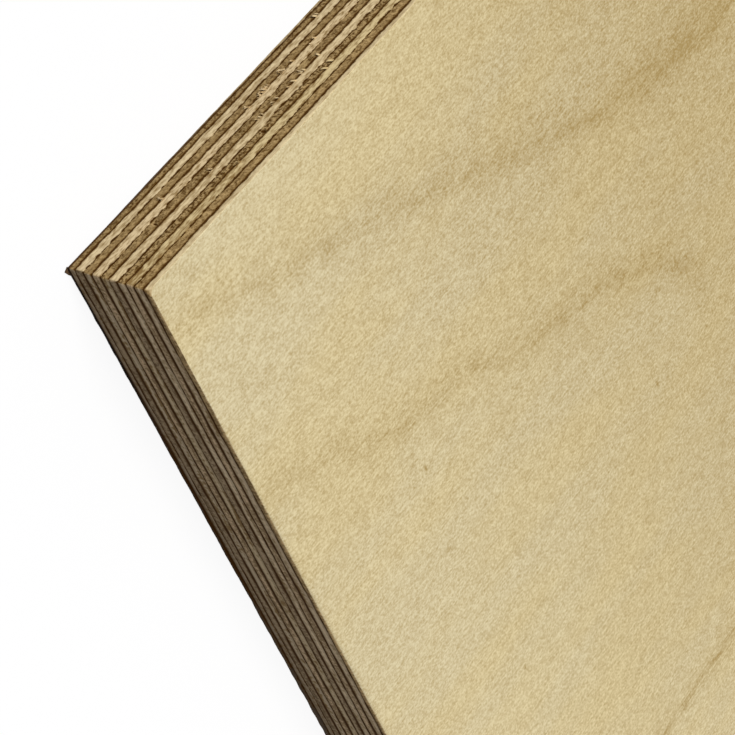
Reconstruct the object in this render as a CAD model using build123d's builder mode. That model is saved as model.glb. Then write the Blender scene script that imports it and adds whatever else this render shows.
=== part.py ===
from build123d import *
import os

# A sheet of 15 mm birch plywood: eleven rotary-cut veneers glued face to face, each turned 90
# degrees to the next. Millimetres, +Z up, sheet flat on its back veneer. The origin is the
# centre of the back. +X runs along the grain of the face.

# Trimmed size of the sheet
sheet_length = 1525.0
sheet_width = 1525.0

# Veneers, from the face down to the back. The two outer veneers are sanded thinner than the
# plies inside, and the last cross ply and the back are the thinnest of their kind.
face_veneer_thickness = 1.00
inner_ply_thickness = 1.54
back_cross_ply_thickness = 1.20
back_veneer_thickness = 0.48
cross_ply_count = 5

# Sanding takes the sharpness off the rim of the face, and handling wears its four corners
face_rim_radius = 0.22
face_corner_radius = 0.60


def veneer(label, bottom, thickness, corner_radius=0.0, rim_radius=0.0):
    """Return one veneer, cut to the size of the sheet, with its lower face at height bottom."""
    with BuildPart() as ply:
        with BuildSketch(Plane.XY.offset(bottom)) as outline:
            Rectangle(sheet_length, sheet_width)
            if corner_radius > 0:
                fillet(outline.vertices(), corner_radius)
        extrude(amount=thickness)
        if rim_radius > 0:
            top = ply.faces().sort_by(Axis.Z)[-1]
            fillet(top.edges(), rim_radius)
    ply.part.label = label
    return ply.part


# The lay-up, from the back to the face: an odd number of veneers, so that the grain of the
# back and the face run the same way
layup = [("back_veneer", back_veneer_thickness)]
for number in range(cross_ply_count, 0, -1):
    at_the_back = number == cross_ply_count
    cross_thickness = back_cross_ply_thickness if at_the_back else inner_ply_thickness
    layup.append((f"cross_ply_{number}", cross_thickness))
    if number > 1:
        layup.append((f"long_ply_{number - 1}", inner_ply_thickness))

# Each veneer lies on the one below it
plies = []
height = 0.0
for label, thickness in layup:
    plies.append(veneer(label, height, thickness))
    height += thickness

# The face veneer closes the stack
plies.append(veneer("face_veneer", height, face_veneer_thickness, face_corner_radius, face_rim_radius))

os.makedirs("parts", exist_ok=True)
for ply in plies:
    export_step(ply, f"parts/{ply.label}.step")
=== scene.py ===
"""The looks of a sheet of birch plywood that lies flat on a pale floor.

Metres, +Z up. +X runs along the grain of the face. The near corner, which the camera looks at,
is at +X and -Y: the right edge, sawn across the face's grain, runs from it along +Y, and the
front edge, sawn along that grain, runs from it along -X.
"""

import logging
import math
from dataclasses import dataclass, field
from enum import Enum

import bmesh
import bpy
import numpy as np
from mathutils import Matrix, Vector


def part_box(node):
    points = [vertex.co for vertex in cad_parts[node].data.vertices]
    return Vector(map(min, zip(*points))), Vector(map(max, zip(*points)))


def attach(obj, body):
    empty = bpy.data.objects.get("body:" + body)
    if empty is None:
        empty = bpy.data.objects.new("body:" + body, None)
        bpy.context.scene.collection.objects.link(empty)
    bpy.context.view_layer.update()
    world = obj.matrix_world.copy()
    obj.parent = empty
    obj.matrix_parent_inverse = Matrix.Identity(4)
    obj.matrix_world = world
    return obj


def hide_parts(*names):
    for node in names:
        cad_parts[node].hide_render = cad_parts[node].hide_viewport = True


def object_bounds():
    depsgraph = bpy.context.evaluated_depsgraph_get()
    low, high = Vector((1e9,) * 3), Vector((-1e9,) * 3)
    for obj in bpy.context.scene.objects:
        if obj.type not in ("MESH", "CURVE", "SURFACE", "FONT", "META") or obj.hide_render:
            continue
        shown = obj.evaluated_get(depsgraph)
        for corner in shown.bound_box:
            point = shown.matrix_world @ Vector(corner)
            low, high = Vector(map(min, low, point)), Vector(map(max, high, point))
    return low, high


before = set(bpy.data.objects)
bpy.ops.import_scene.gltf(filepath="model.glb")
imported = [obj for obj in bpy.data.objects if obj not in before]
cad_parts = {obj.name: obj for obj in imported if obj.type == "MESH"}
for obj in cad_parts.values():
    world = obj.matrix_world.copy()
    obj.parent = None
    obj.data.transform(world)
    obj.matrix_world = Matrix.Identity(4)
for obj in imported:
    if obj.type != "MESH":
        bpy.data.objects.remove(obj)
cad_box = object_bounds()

log = logging.getLogger("plywood")

Triple = tuple[float, float, float]
Profile = tuple[tuple[float, float], ...]
Ring = list[bmesh.types.BMVert]

MM = 0.001

# What stands for the distance to a glue line, in mm, where there is none: away from the sawn
# edges, and under the back veneer
NO_GLUE = 9.0
SHOWN_BACK = 5.0


class Grain(Enum):
    """The way a veneer's fibres run."""

    LONG = (1.0, 0.0, 0.0)
    CROSS = (0.0, 1.0, 0.0)


class Side(Enum):
    """A sawn edge of the sheet, in the order of the rim, with its outward direction."""

    RIGHT = (1.0, 0.0)
    REAR = (0.0, 1.0)
    LEFT = (-1.0, 0.0)
    FRONT = (0.0, -1.0)

    def shows_end_grain(self, grain: Grain) -> bool:
        """Say whether this edge is cut across fibres that run the given way."""
        return abs(self.value[0] * grain.value[0] + self.value[1] * grain.value[1]) > 0.5


def fade(share: np.ndarray) -> np.ndarray:
    """Ease a share from 0 to 1 in and out."""
    share = np.clip(share, 0.0, 1.0)
    return share * share * (3.0 - 2.0 * share)


def follow(profile: Profile, at: np.ndarray) -> np.ndarray:
    """Read a profile at some distances.

    Args:
        profile: Distances with the size at each, in mm.
        at: The distances to read it at, in metres.

    Returns:
        The size at each distance, in metres.
    """
    places, sizes = zip(*profile)
    return np.interp(at / MM, places, sizes) * MM


def graded(run: float, finest: float, fine_run: float, growth: float, coarsest: float) -> np.ndarray:
    """Space marks along a run, closely at first and then ever further apart.

    Args:
        run: Length that the marks cover.
        finest: Spacing of the first marks.
        fine_run: Length over which the spacing stays finest.
        growth: Factor from one spacing to the next past the fine run.
        coarsest: Widest spacing.

    Returns:
        The distances of the marks from the start, the first of them 0.
    """
    marks, step = [0.0], finest
    while marks[-1] + step < run:
        marks.append(marks[-1] + step)
        if marks[-1] > fine_run:
            step = min(step * growth, coarsest)
    return np.array(marks)


def stand(name: str, data: bpy.types.ID) -> bpy.types.Object:
    """Put a mesh, a lamp or a camera into the scene.

    Args:
        name: The new object's name.
        data: What it shows.

    Returns:
        The object.
    """
    made = bpy.data.objects.new(name, data)
    bpy.context.scene.collection.objects.link(made)
    return made


@dataclass
class Rim:
    """The rim of the sheet seen from above: columns in one loop, from the near corner round."""

    half_length: float
    half_width: float
    seen_right: float = 0.138
    seen_front: float = 0.100
    finest: float = 0.21 * MM
    coarsest: float = 7.0 * MM
    growth: float = 1.055
    corner_run: float = 1.3 * MM
    along: np.ndarray = field(init=False)
    xy: np.ndarray = field(init=False)
    outward: np.ndarray = field(init=False)
    sides: list[Side] = field(init=False)

    # Fewest lumps of a noise round the rim, how many there are over the height before they
    # repeat, and the one in which the floor lies
    FEWEST_CELLS = 4
    TALL_CELLS = 61
    FLOOR_CELL = 7.3
    LEAST_REACH = 1e-9

    def __post_init__(self) -> None:
        """Walk the four edges and note every column's place, side and outward direction."""
        length, width = 2 * self.half_length, 2 * self.half_width
        near, far = (self.half_length, -self.half_width), (self.half_length, self.half_width)
        walks = (
            (Side.RIGHT, near, (0.0, 1.0), width, self.seen_right, self.corner_run),
            (Side.REAR, far, (-1.0, 0.0), length, self.corner_run, self.corner_run),
            (Side.LEFT, (-far[0], far[1]), (0.0, -1.0), width, self.corner_run, self.corner_run),
            (Side.FRONT, (-near[0], near[1]), (1.0, 0.0), length, self.corner_run, self.seen_front),
        )
        along, xy, outward, self.sides, walked = [], [], [], [], 0.0
        for side, start, heading, run, fine_start, fine_end in walks:
            marks = self.marks(run, fine_start, fine_end)
            along.append(walked + marks)
            xy.append(np.array(start) + marks[:, None] * np.array(heading))
            outward.append(np.tile(side.value, (len(marks), 1)))
            self.sides += [side] * len(marks)
            walked += run
        self.along, self.xy = np.concatenate(along), np.concatenate(xy)
        self.outward = np.concatenate(outward).astype(float)

    def marks(self, run: float, fine_start: float, fine_end: float) -> np.ndarray:
        """Space the columns of one edge, finely near both of its corners.

        Args:
            run: Length of the edge.
            fine_start: Length over which they stand closest, after the edge's first corner.
            fine_end: The same, before its last corner.

        Returns:
            Each column's distance from the first corner.
        """
        start = graded(run / 2, self.finest, fine_start, self.growth, self.coarsest)
        end = graded(run / 2, self.finest, fine_end, self.growth, self.coarsest)
        return np.concatenate([start, run - end[:0:-1]])

    @property
    def loop(self) -> float:
        """Give the length of the whole rim."""
        return 4 * (self.half_length + self.half_width)

    def from_near_corner(self) -> np.ndarray:
        """Give each column's distance from the near corner, the short way round the rim."""
        return np.minimum(self.along, self.loop - self.along)

    def on(self, *sides: Side) -> np.ndarray:
        """Say for each column whether it stands on one of the given edges."""
        return np.array([side in sides for side in self.sides])

    def end_grain(self, grain: Grain) -> np.ndarray:
        """Give 1 for the columns at which that grain is cut across, and 0 for the rest."""
        return np.array([float(side.shows_end_grain(grain)) for side in self.sides])

    def noise(
        self,
        seed: int,
        cell: float,
        tall_cell: float = 1.0,
        height: np.ndarray | float = 0.0,
    ) -> np.ndarray:
        """Read smooth noise that closes on itself round the rim, the same on every run.

        Args:
            seed: Which noise it is.
            cell: Length of its lumps along the rim.
            tall_cell: Their height, where the noise changes over the edge's thickness too.
            height: Height of each column where it is read.

        Returns:
            A value from -1 to 1 for each column.
        """
        cells = max(self.FEWEST_CELLS, round(self.loop / cell))
        lattice = np.random.default_rng(seed).uniform(-1, 1, (cells, self.TALL_CELLS))
        across = self.along / self.loop * cells
        up = np.asarray(height) / tall_cell + self.FLOOR_CELL
        i, j = np.floor(across).astype(int), np.floor(up).astype(int)
        s, t = fade(across - i), fade(up - j)

        def knot(a: np.ndarray, b: np.ndarray) -> np.ndarray:
            """Read the lattice, round the loop."""
            return lattice[a % cells, b % self.TALL_CELLS]

        lower = knot(i, j) * (1 - s) + knot(i + 1, j) * s
        upper = knot(i, j + 1) * (1 - s) + knot(i + 1, j + 1) * s
        return lower * (1 - t) + upper * t

    def worn(self, radius: np.ndarray | float, inset: np.ndarray | float) -> np.ndarray:
        """Place the columns with the four corners worn round.

        Args:
            radius: Radius of each column's corner.
            inset: How far each column stands inside the outline.

        Returns:
            The x and y of every column.
        """
        radius = np.broadcast_to(np.asarray(radius, float), self.along.shape)
        inset = np.broadcast_to(np.asarray(inset, float), self.along.shape)
        centre = np.array([self.half_length, self.half_width]) - radius[:, None]
        beyond = np.abs(self.xy) - centre
        on_corner = (beyond > 0).all(1)
        reach = np.maximum(np.hypot(*beyond.T), self.LEAST_REACH)
        round_it = beyond / reach[:, None] * np.sign(self.xy)
        direction = np.where(on_corner[:, None], round_it, self.outward)
        rounded = np.sign(self.xy) * centre + direction * radius[:, None]
        return np.where(on_corner[:, None], rounded, self.xy) - direction * inset[:, None]


class Value:
    """A socket of a shader graph. Python's operators on it add Math nodes."""

    def __init__(self, graph: "Graph", socket: bpy.types.NodeSocket | None) -> None:
        """Hold the socket and the graph that it belongs to."""
        self.graph = graph
        self.socket = socket

    def math(self, operation: str, *others: "Value | float") -> "Value":
        """Add one Math node that starts from this value."""
        return self.graph.math(operation, self, *others)

    def __add__(self, other: "Value | float") -> "Value":
        """Add."""
        return self.math("ADD", other)

    __radd__ = __add__

    def __mul__(self, other: "Value | float") -> "Value":
        """Multiply."""
        return self.math("MULTIPLY", other)

    __rmul__ = __mul__

    def __sub__(self, other: "Value | float") -> "Value":
        """Subtract."""
        return self.math("SUBTRACT", other)

    def __rsub__(self, other: float) -> "Value":
        """Subtract this value from a number."""
        return self.graph.math("SUBTRACT", other, self)

    def __truediv__(self, other: "Value | float") -> "Value":
        """Divide."""
        return self.math("DIVIDE", other)

    def __rtruediv__(self, other: float) -> "Value":
        """Divide a number by this value."""
        return self.graph.math("DIVIDE", other, self)

    def __abs__(self) -> "Value":
        """Take the size without the sign."""
        return self.math("ABSOLUTE")

    def larger(self, other: "Value") -> "Value":
        """Take the larger of two values."""
        return self.math("MAXIMUM", other)

    def smaller(self, other: "Value") -> "Value":
        """Take the smaller of two values."""
        return self.math("MINIMUM", other)

    def clamped(self) -> "Value":
        """Keep the value from 0 to 1."""
        return self.graph.math("ADD", self, 0.0, clamp=True)

    def rises(self, start: float, end: float, amount: float = 1.0) -> "Value":
        """Ease from 0 to an amount between two values.

        Args:
            start: Where it is 0.
            end: Where the amount is reached, above or below the start.
            amount: The amount.

        Returns:
            The eased value.
        """
        low, high = min(start, end), max(start, end)
        first, last = (0.0, amount) if start < end else (amount, 0.0)
        return self.graph.add(
            "ShaderNodeMapRange",
            {"interpolation_type": "SMOOTHSTEP"},
            {0: self, 1: low, 2: high, 3: first, 4: last},
        )

    def bell(self, width: "Value | float") -> "Value":
        """Give 1 where this value is 0, falling off on both sides over about a width."""
        ratio = self / width
        return self.graph.math("POWER", math.e, ratio * ratio * -1.0)


class Graph:
    """The shader graph of a material or of the world, written as Python expressions."""

    def __init__(self, owner: bpy.types.Material | bpy.types.World) -> None:
        """Open the owner's graph and empty it."""
        owner.use_nodes = True
        self.owner = owner
        self.tree = owner.node_tree
        self.tree.nodes.clear()

    def add(
        self,
        kind: str,
        settings: dict | None = None,
        inputs: dict | None = None,
        output: int | str = 0,
    ) -> Value:
        """Add one node.

        Args:
            kind: The node's type.
            settings: Its own properties, and for a curve its points.
            inputs: A number, tuple or Value for each named or numbered socket.
            output: Which of its outputs to give back.

        Returns:
            That output.
        """
        node = self.tree.nodes.new(kind)
        for name, setting in (settings or {}).items():
            if name == "points":
                self.bend(node, setting)
            else:
                setattr(node, name, setting)
        for name, entry in (inputs or {}).items():
            socket = node.inputs[name]
            if isinstance(entry, Value):
                self.tree.links.new(entry.socket, socket)
            elif socket.type == "RGBA":
                socket.default_value = (*entry, 1.0)
            else:
                socket.default_value = entry
        return Value(self, node.outputs[output] if node.outputs else None)

    def bend(self, node: bpy.types.Node, points: Profile) -> None:
        """Draw the curve of a Float Curve node.

        Args:
            node: The node.
            points: The curve's points, which all lie from 0 to 1.
        """
        curve = node.mapping.curves[0]
        for point, place in zip(curve.points, (points[0], points[-1])):
            point.location = place
        for place in points[1:-1]:
            curve.points.new(*place)
        node.mapping.update()

    def math(self, operation: str, *operands: Value | float, clamp: bool = False) -> Value:
        """Add one Math node on values and numbers."""
        settings = {"operation": operation, "use_clamp": clamp}
        return self.add("ShaderNodeMath", settings, dict(enumerate(operands)))

    def vector_math(self, operation: str, first: Value, second: Value | Triple) -> Value:
        """Add one Vector Math node."""
        output = "Value" if operation == "DOT_PRODUCT" else "Vector"
        return self.add("ShaderNodeVectorMath", {"operation": operation}, {0: first, 1: second}, output)

    def axes(self, vector: Value) -> list[Value]:
        """Split a vector into its x, y and z."""
        node = self.add("ShaderNodeSeparateXYZ", None, {0: vector}).socket.node
        return [Value(self, socket) for socket in node.outputs]

    def facing(self, direction: Triple) -> Value:
        """Give how squarely the surface faces along a line, from 0 to 1."""
        normal = self.add("ShaderNodeTexCoord", output="Normal")
        return abs(self.vector_math("DOT_PRODUCT", normal, direction))

    def attribute(self, name: str) -> Value:
        """Read a value that the mesh holds at its vertices."""
        return self.add("ShaderNodeAttribute", {"attribute_name": name}, output="Fac")

    def mix(self, factor: Value | float, first: Value | Triple, second: Value | Triple) -> Value:
        """Mix two colours, all of the second where the factor is 1."""
        settings = {"data_type": "RGBA", "clamp_factor": True}
        return self.add("ShaderNodeMix", settings, {0: factor, 6: first, 7: second}, output=2)

    def close(self, shader: Value, kind: str = "ShaderNodeOutputMaterial") -> bpy.types.ID:
        """Lead a shader to the graph's output and give back the graph's owner."""
        self.add(kind, None, {"Surface": shader})
        return self.owner


@dataclass(frozen=True)
class Spot:
    """The point of the sheet that a material colours.

    Its distances from the right and front edges and from the floor are in mm. It is flat where
    it lies on the face or the back, and right on the right and left edges.
    """

    graph: Graph
    place: Value
    from_right: Value
    from_front: Value
    height: Value
    flat: Value
    right: Value

    # How squarely a surface faces up, or to the right, where it starts to count as such
    FLAT = (0.35, 0.75)
    RIGHT = (0.4, 0.9)

    @classmethod
    def on(cls, graph: Graph, rim: Rim) -> "Spot":
        """Find out where the point lies and which way its surface faces.

        Args:
            graph: The material's graph.
            rim: The sheet's rim, for its size.

        Returns:
            The spot.
        """
        place = graph.add("ShaderNodeTexCoord", output="Object")
        x, y, z = graph.axes(place)
        flat = graph.facing((0.0, 0.0, 1.0)).rises(*cls.FLAT)
        right = graph.facing((1.0, 0.0, 0.0)).rises(*cls.RIGHT)
        from_right, from_front = (rim.half_length - x) / MM, (y + rim.half_width) / MM
        return cls(graph, place, from_right, from_front, z / MM, flat, right)

    def noise(
        self,
        lumps: Triple,
        detail: float,
        roughness: float = 0.5,
        shift: Triple | None = None,
    ) -> Value:
        """Read noise at the spot.

        Args:
            lumps: How many lumps it has to the metre along x, y and z.
            detail: How many finer octaves it has.
            roughness: How strong these are.
            shift: How far it is moved, in lumps.

        Returns:
            A value from 0 to 1.
        """
        vector = self.graph.vector_math("MULTIPLY", self.place, lumps)
        if shift:
            vector = self.graph.vector_math("ADD", vector, shift)
        inputs = {"Vector": vector, "Scale": 1.0, "Detail": detail, "Roughness": roughness}
        return self.graph.add("ShaderNodeTexNoise", {"noise_dimensions": "3D"}, inputs)

    def ripple(
        self,
        lumps: Triple,
        detail: float,
        roughness: float = 0.5,
        shift: Triple | None = None,
    ) -> Value:
        """Read the same noise as a value from -0.5 to 0.5."""
        return self.noise(lumps, detail, roughness, shift) - 0.5


@dataclass(frozen=True)
class Streak:
    """One darker growth line on the face, by its distances in mm from the two near edges."""

    path: Profile
    depth: float
    core: float
    halo_depth: float
    halo: float

    REACH = 200.0
    FADE_IN = (-6.0, 4.0)
    FADE_OUT = (4.0, -8.0)
    HALO_ASIDE = 0.25

    def paint(self, spot: Spot, from_front: Value, patchy: Value) -> Value:
        """Draw the streak.

        Args:
            spot: The point on the sheet.
            from_front: Its distance from the front edge, in mm, frayed along the grain.
            patchy: How strong the streak is from place to place.

        Returns:
            How dark the streak makes the wood.
        """
        points = tuple((x / self.REACH, y / self.REACH) for x, y in self.path)
        inputs = {"Value": spot.from_right / self.REACH}
        line = spot.graph.add("ShaderNodeFloatCurve", {"points": points}, inputs)
        off = from_front - line * self.REACH
        starts = spot.from_right.rises(*(self.path[0][0] + run for run in self.FADE_IN))
        ends = spot.from_right.rises(*(self.path[-1][0] + run for run in self.FADE_OUT))
        core = off.bell(self.core) * patchy * self.depth
        halo = (off + self.halo * self.HALO_ASIDE).bell(self.halo) * self.halo_depth
        return (core + halo) * (starts * ends)


@dataclass(frozen=True)
class RotaryFigure:
    """The figure of a veneer peeled from the log: growth lines like contours on a map."""

    rings: float = 5.5
    strength: float = 0.27
    shift: Triple = (3.1, 0.7, 0.0)
    streaks: tuple[Streak, ...] = ()
    pins: tuple[tuple[float, float], ...] = ()

    # Lumps of the noises to the metre
    FRAY = (230.0, 1600.0, 1.0)
    WANDER = (1.5, 5.2, 1.0)
    PATCHES = (2.2, 5.0, 1.0)
    CLOTS = (260.0, 520.0, 1.0)

    # Growth lines to the metre, the shares of a year in which they darken and end, and how far
    # they and the streaks fray
    SLANT = 4.0
    DARKENS = (0.42, 0.97)
    ENDS = (1.0, 0.965)
    LINE_FRAY = 0.045
    STREAK_FRAY = 6.5

    # How strong the growth lines are everywhere, and what the patches add
    EVERYWHERE = 0.25
    PATCHY = (0.34, 0.66, 0.75)
    CLOTTED = (0.30, 0.62)

    # Where the growth lines take over from the streaks, in mm, and how much darker it is there, a
    # painted shade where the light falls off away from the near corner
    OUTSIDE = (115.0, 260.0)
    OUTSIDE_FRONT = 0.75
    OUTSIDE_SHADE = 0.08

    # The broad painted shade beside the corner, where the light falls off away from it: where it starts
    # and ends behind the right edge, and where it ends behind the front edge, in mm, with its darkness
    SHADE_START = (0.0, 150.0)
    SHADE_END = (680.0, 240.0)
    SHADE_DEPTH = (560.0, 220.0, 0.36)

    # Breadth of a pin mark in mm, how much it is drawn out along the grain, and its darkness
    PIN = 0.38
    PIN_DRAWN = (0.6, 2.0)
    PIN_DEPTH = 0.80

    def growth(self, spot: Spot, fray: Value) -> Value:
        """Draw the growth lines, each of which darkens slowly and ends sharply.

        Args:
            spot: The point on the sheet.
            fray: Noise that frays them along the grain.

        Returns:
            How dark they make the wood.
        """
        y = spot.graph.axes(spot.place)[1]
        wander = spot.noise(self.WANDER, 3.0, 0.45, self.shift)
        season = (wander * self.rings + y * self.SLANT + fray * self.LINE_FRAY).math("FRACT")
        late = season.rises(*self.DARKENS) * season.rises(*self.ENDS)
        patchy = spot.noise(self.PATCHES, 2.0).rises(*self.PATCHY)
        return late * (patchy + self.EVERYWHERE) * self.strength

    def paint(self, spot: Spot) -> Value:
        """Draw the figure over the sheet, with painted shade where the light falls off away from the
        near corner.

        Args:
            spot: The point on the sheet.

        Returns:
            How dark the figure makes the wood.
        """
        fray = spot.ripple(self.FRAY, 2.0)
        lines = self.growth(spot, fray)
        if not self.streaks:
            return lines
        from_right, from_front = spot.from_right, spot.from_front
        outside = from_right.larger(from_front * self.OUTSIDE_FRONT).rises(*self.OUTSIDE)
        # Painted shade: the light falls off away from the near corner
        shade = from_right.rises(*self.SHADE_START) * from_right.rises(*self.SHADE_END)
        shade = shade * from_front.rises(*self.SHADE_DEPTH)
        drawn = lines * outside + shade + outside * self.OUTSIDE_SHADE
        frayed = from_front + fray * self.STREAK_FRAY
        clots = spot.noise(self.CLOTS, 1.0).rises(*self.CLOTTED)
        for streak in self.streaks:
            drawn = drawn + streak.paint(spot, frayed, clots)
        over_front, over_right = self.PIN_DRAWN
        for across, up in self.pins:
            aside, above = from_right - across, from_front - up
            off = (aside * aside * over_right + above * above * over_front).math("SQRT")
            drawn = drawn + off.bell(self.PIN) * self.PIN_DEPTH
        return drawn


@dataclass(frozen=True)
class Fibres:
    """The noises that the fibres of a veneer make, each from -0.5 to 0.5."""

    pore: Value
    cut: Value
    strand: Value
    broad: Value


@dataclass(frozen=True)
class BirchFinish:
    """Bare birch, sanded, sawn along its fibres or sawn across them, with its glue lines and the shade
    painted along them, towards the floor and on the front arris.
    """

    name: str
    grain: Grain
    shift: Triple
    pale: Triple = (0.66, 0.53, 0.315)
    contrast: float = 1.0
    end_pale: Triple = (0.41, 0.282, 0.115)
    end_deep: Triple = (0.088, 0.044, 0.0095)
    end_contrast: float = 1.0
    near_tint: float = 0.0
    figure: RotaryFigure | None = None
    soiled: bool = False

    DEEP = (0.28, 0.178, 0.066)
    FACE_PALE = (0.738, 0.650, 0.405)
    FACE_WARM = (0.756, 0.645, 0.368)
    FACE_DEEP = (0.40, 0.283, 0.104)
    # The resin of the glue lines, which also colours the painted shade of their furrows, hollows and
    # voids and towards the floor
    RESIN_AND_SHADE = (0.055, 0.020, 0.001)
    STAIN = (0.225, 0.125, 0.028)
    # Colours of the painted shade at the back's foot: at the near corner, then along the right edge near
    # the corner and further on
    CORNER_SHADE_COLOUR = (0.085, 0.046, 0.022)
    NEAR_RIM_SHADE = (0.008, 0.005, 0.003)
    FAR_RIM_SHADE = (0.074, 0.053, 0.034)

    # Lumps to the metre of the noises that follow the grain, along it and across it
    PORES = (1000.0, 2900.0)
    CUT_ENDS = (2600.0, 3300.0)
    BLOTCHES = (1250.0, 1500.0)
    STRANDS = (130.0, 1300.0)
    HAIRS = (330.0, 2400.0)

    # Lumps to the metre of the other noises, along x, y and z
    BROAD = (7.0, 16.0, 16.0)
    SAW_MARKS = (400.0, 90.0, 1500.0)
    SAW_NICKS = (900.0, 1900.0, 1500.0)
    MOTTLE = (220.0, 380.0, 1.0)
    CLOUDS = (26.0, 75.0, 1.0)
    JAGS = (1300.0, 1300.0, 1300.0)
    SWELLS = (260.0, 260.0, 1.0)
    DASHES = (850.0, 170.0, 850.0)

    # How far the glue lines fray, in mm, and how much less they do where the saw smoothed them
    FRAY_ABOVE = 0.46
    FRAY_BELOW = 0.40
    SMOOTHED = 0.8

    # Half the width in mm of the line above a veneer: the least of it, and what is added by cut
    # ends, by dashes on long grain, by the right edge and by cut ends on that edge
    LINE_ABOVE = (0.07, 0.34, 0.20, 0.05, 0.10)

    # The same below it: on long grain, what cut ends take away, what their dashes give back,
    # what the right edge adds and what cut ends on that edge take away
    LINE_BELOW = (0.24, 0.19, 0.15, 0.18, 0.14)

    # Where the dashes are, and how much each line swells in front and further on the right edge
    DASHED = (0.40, 0.64)
    SWELL_ABOVE = (0.9, 0.3)
    SWELL_BELOW = (0.8, 0.4)

    # How a line and its stain fade, as shares of the width, what the stain adds to the width,
    # and how strong it is in front, and how much less on the right edge
    LINE_FADE = (1.0, 0.3)
    STAIN_FADE = (1.15, 0.6)
    STAIN_ABOVE = 0.07
    STAIN_BELOW = 0.06
    STAINED = (0.48, 0.26)

    # Painted shade in the hollows between lines that are close together on the right edge, and painted
    # shade in the voids
    HOLLOW_SHADE = (0.75, 0.0, 0.36)
    PIT_SHADE = (0.05, 0.22)

    # Painted shade on the right edge towards the floor, with the dark of the glue at its foot: heights
    # in mm at which it starts and is full, with its darkness, first up the edge, then at its foot and
    # then near the corner only
    SIDE_FLOOR_SHADE = (3.6, 0.0, 0.40)
    FOOT_FLOOR_SHADE = (0.88, 0.50, 0.52)
    NEAR_FLOOR_SHADE = (1.25, 0.75, 0.58)

    # Where along that edge the near shade starts and ends, and where the foot's sinks, in mm
    NEAR_START = (-6.0, 32.0)
    NEAR_END = (72.0, 40.0)
    FOOT_SINKS = (62.0, 108.0, 0.30)

    # Painted shade on the front edge towards the floor, over the glue line above the back: its top, the
    # bare rim under it, and how both change far from the corner
    FRONT_FLOOR_SHADE = (0.80, 0.58, 0.86)
    FRONT_RIM = (0.10, 0.32)
    FRONT_FAR = (24.0, 52.0)
    FAR_RIM_SINKS = 0.22
    FAR_FLOOR_SHADE = 0.35

    # Painted shade at the foot of the near corner: distances in mm from the right and the front edge
    # over which it is dark, how dark it is with what the bottom adds, and the heights of the bottom in
    # mm
    CORNER_FRONT = (36.0, 10.0)
    CORNER_RIGHT = (12.0, 2.5)
    CORNER_SHADE = (0.90, 0.06)
    BOTTOM = (0.20, 0.04)

    # Painted shade along the foot, over the back's own dark end grain: where it turns from near black to
    # dark brown in mm, how squarely the edge faces right with its darkness, how near the right edge and
    # how far from the front one the back has it, and its strength
    RIM_SHADE_TURNS = (16.0, 38.0)
    EDGE_RIM_SHADE = (0.3, 0.7, 0.8)
    BACK_RIM_SHADE = (0.40, 0.15)
    RIND_START = (1.6, 3.0)
    RIM_SHADE_STRENGTH = 0.96

    # Where the sawn edges end, how squarely a cut end faces along its fibres, the run of the
    # tint near the corner in mm, how cloudy the face is, and how high on the back its own colour
    # ends, in mm
    ON_EDGE = (NO_GLUE - 0.2, NO_GLUE - 0.8)
    CUT_FACING = (0.35, 0.85)
    TINT_RUN = (52.0, 4.0)
    CLOUDY = (0.32, 0.68)
    BACK_ENDS = (0.06, 0.01)

    # Painted shade on the front arris of the face, which faces the lamp and would light up brighter than
    # the face
    ARRIS_FACING = (0.0, -0.707, 0.707)
    ARRIS_SHADE = (0.94, 0.995, 0.08)

    # Tone of wood sawn along its fibres: how strong the pores and the strands are in front, with
    # what the right edge takes from the one and adds to the other, then saw marks and nicks, and
    # then broad patches and the middle
    LONG_PORES = (2.8, 1.2)
    LONG_STRANDS = (1.5, 1.4)
    LONG_SAW = (2.6, 2.2)
    LONG_TONE = (0.35, 0.70)

    # The same for cut ends: dots and blotches, strands in front with what the right edge takes
    # away, saw marks and nicks, and broad patches and the middle
    END_DOTS = (2.25, 1.7)
    END_STRANDS = (1.4, 0.7)
    END_SAW = (3.8, 2.6)
    END_TONE = (0.3, 0.55)

    # The same for a sanded face: dots, hair lines, mottle, broad patches and the middle
    SANDED = (1.36, 0.60, 0.34, 0.36, 0.72)

    # Roughness with what strands and glue lines add, the strands' share of the relief, and how
    # much flatter a sanded face is
    ROUGHNESS = (0.62, 0.15, 0.15)
    STRAND_RELIEF = 0.5
    SANDED_FLATTER = 0.85

    SPECULAR = 0.05
    BUMP_STRENGTH = 0.30
    BUMP_DEPTH = 0.05 * MM

    def along_grain(self, spot: Spot, along: float, across: float, detail: float = 1.0) -> Value:
        """Read noise that is drawn out along the grain, and so is fine dots on a cut end.

        Args:
            spot: The point on the sheet.
            along: Its lumps to the metre along the grain.
            across: Its lumps to the metre across the grain.
            detail: How many finer octaves it has.

        Returns:
            A value from -0.5 to 0.5.
        """
        lumps = (along, across, across) if self.grain is Grain.LONG else (across, along, across)
        return spot.ripple(lumps, detail, shift=self.shift)

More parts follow.
